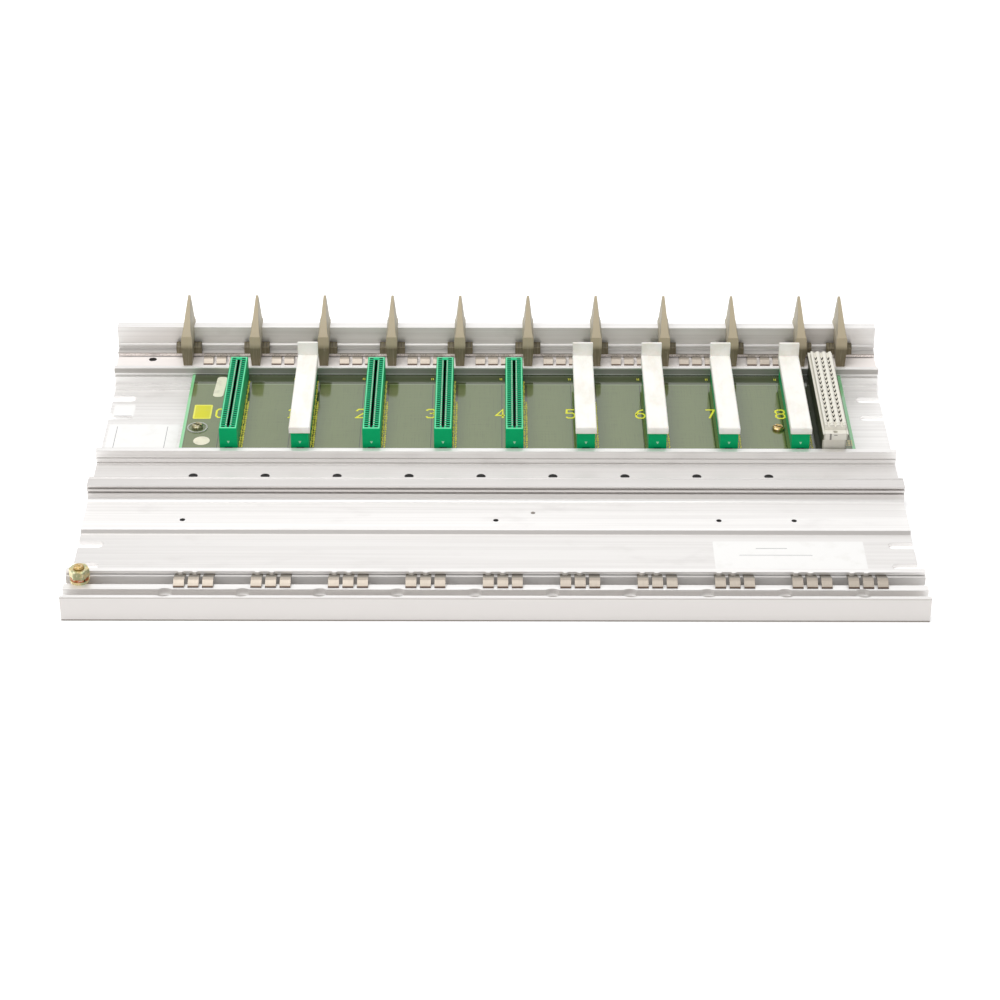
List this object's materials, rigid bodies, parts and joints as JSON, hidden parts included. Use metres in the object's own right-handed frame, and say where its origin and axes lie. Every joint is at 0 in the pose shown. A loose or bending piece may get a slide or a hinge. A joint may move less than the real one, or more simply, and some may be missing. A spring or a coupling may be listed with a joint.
{
  "type": "open card rack",
  "caption": "Open card rack: one wide aluminium extrusion with a backplane board, card sockets, dust caps, plastic guide fins, contact springs and an earth terminal.",
  "frame": {"origin": "middle of the back face, below the box centre of the whole rack", "axes": "+X along the rack to the right, +Y from the lower edge to the upper edge, +Z out of the back face, the way modules leave"},
  "size_m": [0.4826, 0.2956, 0.048],
  "materials": {
    "bare_aluminium": "satin",
    "circuit_board": "satin",
    "nylon": "matte",
    "clear_plastic": "gloss",
    "dark_screw": "satin",
    "brass_screw": "satin",
    "cream_plastic": "satin",
    "yellow_zinc": "satin",
    "steel_spring": "satin",
    "green_plastic": "satin",
    "white_plastic": "satin",
    "olive_plastic": "satin"
  },
  "bodies": {
    "root": {"rack_profile": "bare_aluminium", "backplane_board": "circuit_board", "board_posts": "nylon", "board_screw_ring": "clear_plastic", "board_screw_left": "dark_screw", "board_screw_right": "brass_screw", "interface_connector": "cream_plastic", "earth_stud": "brass_screw", "earth_washer": "yellow_zinc", "earth_lock_washer": "steel_spring", "earth_nut": "yellow_zinc", "slot_connector_0": "green_plastic", "slot_connector_1": "green_plastic", "slot_connector_2": "green_plastic", "slot_connector_3": "green_plastic", "slot_connector_4": "green_plastic", "slot_connector_5": "green_plastic", "slot_connector_6": "green_plastic", "slot_connector_7": "green_plastic", "slot_connector_8": "green_plastic", "dust_cap_1": "white_plastic", "dust_cap_5": "white_plastic", "dust_cap_6": "white_plastic", "dust_cap_7": "white_plastic", "dust_cap_8": "white_plastic", "card_guide_0": "olive_plastic", "card_guide_1": "olive_plastic", "card_guide_2": "olive_plastic", "card_guide_3": "olive_plastic", "card_guide_4": "olive_plastic", "card_guide_5": "olive_plastic", "card_guide_6": "olive_plastic", "card_guide_7": "olive_plastic", "card_guide_8": "olive_plastic", "card_guide_9": "olive_plastic", "card_guide_10": "olive_plastic", "lower_contact_spring_0": "steel_spring", "upper_contact_spring_0": "steel_spring", "lower_contact_spring_1": "steel_spring", "upper_contact_spring_1": "steel_spring", "lower_contact_spring_2": "steel_spring", "upper_contact_spring_2": "steel_spring", "lower_contact_spring_3": "steel_spring", "upper_contact_spring_3": "steel_spring", "lower_contact_spring_4": "steel_spring", "upper_contact_spring_4": "steel_spring", "lower_contact_spring_5": "steel_spring", "upper_contact_spring_5": "steel_spring", "lower_contact_spring_6": "steel_spring", "upper_contact_spring_6": "steel_spring", "lower_contact_spring_7": "steel_spring", "upper_contact_spring_7": "steel_spring", "lower_contact_spring_8": "steel_spring", "upper_contact_spring_8": "steel_spring", "lower_contact_spring_9": "steel_spring", "upper_contact_spring_9": "steel_spring"}
  },
  "joints": []
}
